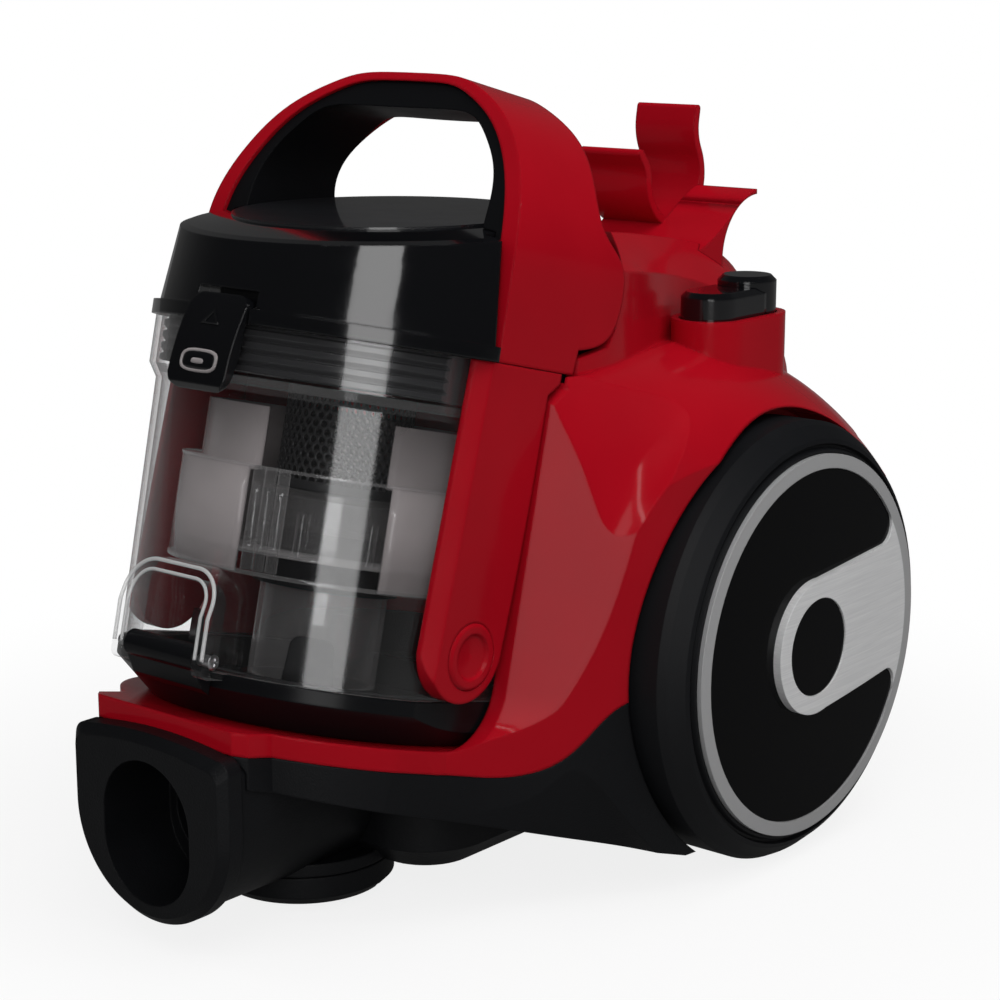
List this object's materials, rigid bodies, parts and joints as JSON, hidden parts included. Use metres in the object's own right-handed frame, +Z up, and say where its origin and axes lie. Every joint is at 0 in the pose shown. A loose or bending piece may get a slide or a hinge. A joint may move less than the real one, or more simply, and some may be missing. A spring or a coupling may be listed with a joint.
{
  "type": "canister vacuum cleaner",
  "caption": "Compact bagless canister vacuum with a clear leaning cyclone cup, carrying handle, hose inlet, spoked-band wheels, swivel caster and rear accessory clip.",
  "frame": {"origin": "floor point under the middle of the bounding box", "axes": "+Z up, hose inlet towards -Y, button tower on the +X side"},
  "size_m": [0.2546, 0.381, 0.2878],
  "materials": {
    "red_gloss": "gloss moulded",
    "black_matt": "fine texture",
    "black_gloss": "gloss moulded",
    "grip_black": "satin",
    "tyre_black": "matt",
    "silver": "brushed",
    "clear": "clear moulded plastic",
    "frosted": "translucent plastic",
    "screen_metal": "perforated",
    "steel": "plain",
    "paper": "pleated",
    "seal_rubber": "soft",
    "foam": "open foam",
    "works_grey": "moulded"
  },
  "bodies": {
    "chassis": {"upper_housing": "red_gloss", "lower_housing": "black_matt", "inlet_socket": "black_matt", "accessory_holder": "red_gloss", "axle_stub_left": "steel", "axle_stub_right": "steel", "power_spring": "steel", "rewind_spring": "steel", "suction_duct": "works_grey", "motor_housing": "works_grey", "motor_mount": "seal_rubber", "reel_stand": "works_grey", "rear_grille": "black_matt", "exhaust_filter": "foam", "cord_outlet": "black_matt", "power_switch": "works_grey"},
    "wheel_left": {"tyre_left": "tyre_black", "wheel_disc_left": "grip_black", "wheel_trim_left": "silver", "wheel_cap_left": "black_gloss"},
    "wheel_right": {"tyre_right": "tyre_black", "wheel_disc_right": "grip_black", "wheel_trim_right": "silver", "wheel_cap_right": "black_gloss"},
    "caster": {"caster_turntable": "black_matt", "caster_pin": "steel"},
    "roller": {"caster_roller": "tyre_black"},
    "power": {"power_button": "black_gloss"},
    "rewind": {"rewind_button": "black_gloss"},
    "container": {"dust_cup": "clear", "flap_pin": "steel", "cup_arm_left": "red_gloss", "cup_arm_right": "red_gloss", "arm_cap_left": "red_gloss", "arm_cap_right": "red_gloss", "cyclone_screen": "screen_metal", "cyclone_skirt": "frosted", "cyclone_body": "clear", "cyclone_band": "grip_black", "cyclone_deck": "frosted", "cyclone_cup": "clear", "cyclone_foot": "seal_rubber"},
    "flap": {"bottom_flap": "black_matt", "flap_seal": "seal_rubber"},
    "lid": {"filter_lid": "black_gloss", "handle_shell": "red_gloss", "handle_grip": "grip_black", "filter_frame": "black_matt", "pleated_filter": "paper", "latch_pin": "steel"},
    "clasp": {"latch": "black_gloss"},
    "rotor": {"motor_rotor": "steel"},
    "reel": {"cord_reel": "works_grey"}
  },
  "joints": [
    {"name": "wheel_left_spin", "type": "hinge", "parent": "chassis", "child": "wheel_left", "pos_m": [0.108, 0.024, 0.082], "axis": [1, 0, 0], "continuous": true},
    {"name": "wheel_right_spin", "type": "hinge", "parent": "chassis", "child": "wheel_right", "pos_m": [-0.108, 0.024, 0.082], "axis": [1, 0, 0], "continuous": true},
    {"name": "caster_swivel", "type": "hinge", "parent": "chassis", "child": "caster", "pos_m": [0, -0.116, 0.016], "axis": [0, 0, 1], "continuous": true},
    {"name": "caster_roll", "type": "hinge", "parent": "caster", "child": "roller", "pos_m": [0, -0.108, 0.0065], "axis": [1, 0, 0], "continuous": true},
    {"name": "power_press", "type": "slide", "parent": "chassis", "child": "power", "axis": [0, 0, -1], "range_m": [0, 0.0035], "stiffness_N_per_m": 400, "springref_m": -0.002, "deforming": ["power_spring"]},
    {"name": "rewind_press", "type": "slide", "parent": "chassis", "child": "rewind", "axis": [0, 0, -1], "range_m": [0, 0.0035], "stiffness_N_per_m": 400, "springref_m": -0.002, "deforming": ["rewind_spring"]},
    {"name": "container_lift", "type": "slide", "parent": "chassis", "child": "container", "axis": [0, 0.2368, 0.9715], "range_m": [0, 0.15]},
    {"name": "flap_open", "type": "hinge", "parent": "container", "child": "flap", "pos_m": [0, -0.17858, 0.10283], "axis": [-1, 0, 0], "range_deg": [0, 40]},
    {"name": "lid_lift", "type": "slide", "parent": "container", "child": "lid", "axis": [0, 0.2368, 0.9715], "range_m": [0, 0.08]},
    {"name": "latch_open", "type": "hinge", "parent": "lid", "child": "clasp", "pos_m": [0, -0.14707, 0.21352], "axis": [-1, 0, 0], "range_deg": [0, 35]},
    {"name": "motor_spin", "type": "hinge", "parent": "chassis", "child": "rotor", "pos_m": [0, 0.054, 0.084], "axis": [1, 0, 0], "continuous": true},
    {"name": "reel_spin", "type": "hinge", "parent": "chassis", "child": "reel", "pos_m": [0, 0.136, 0.058], "axis": [1, 0, 0], "continuous": true}
  ],
  "couplings": [
    {"joint": "flap_open", "follows": "container_lift", "rad_per_m": 4.65}
  ]
}
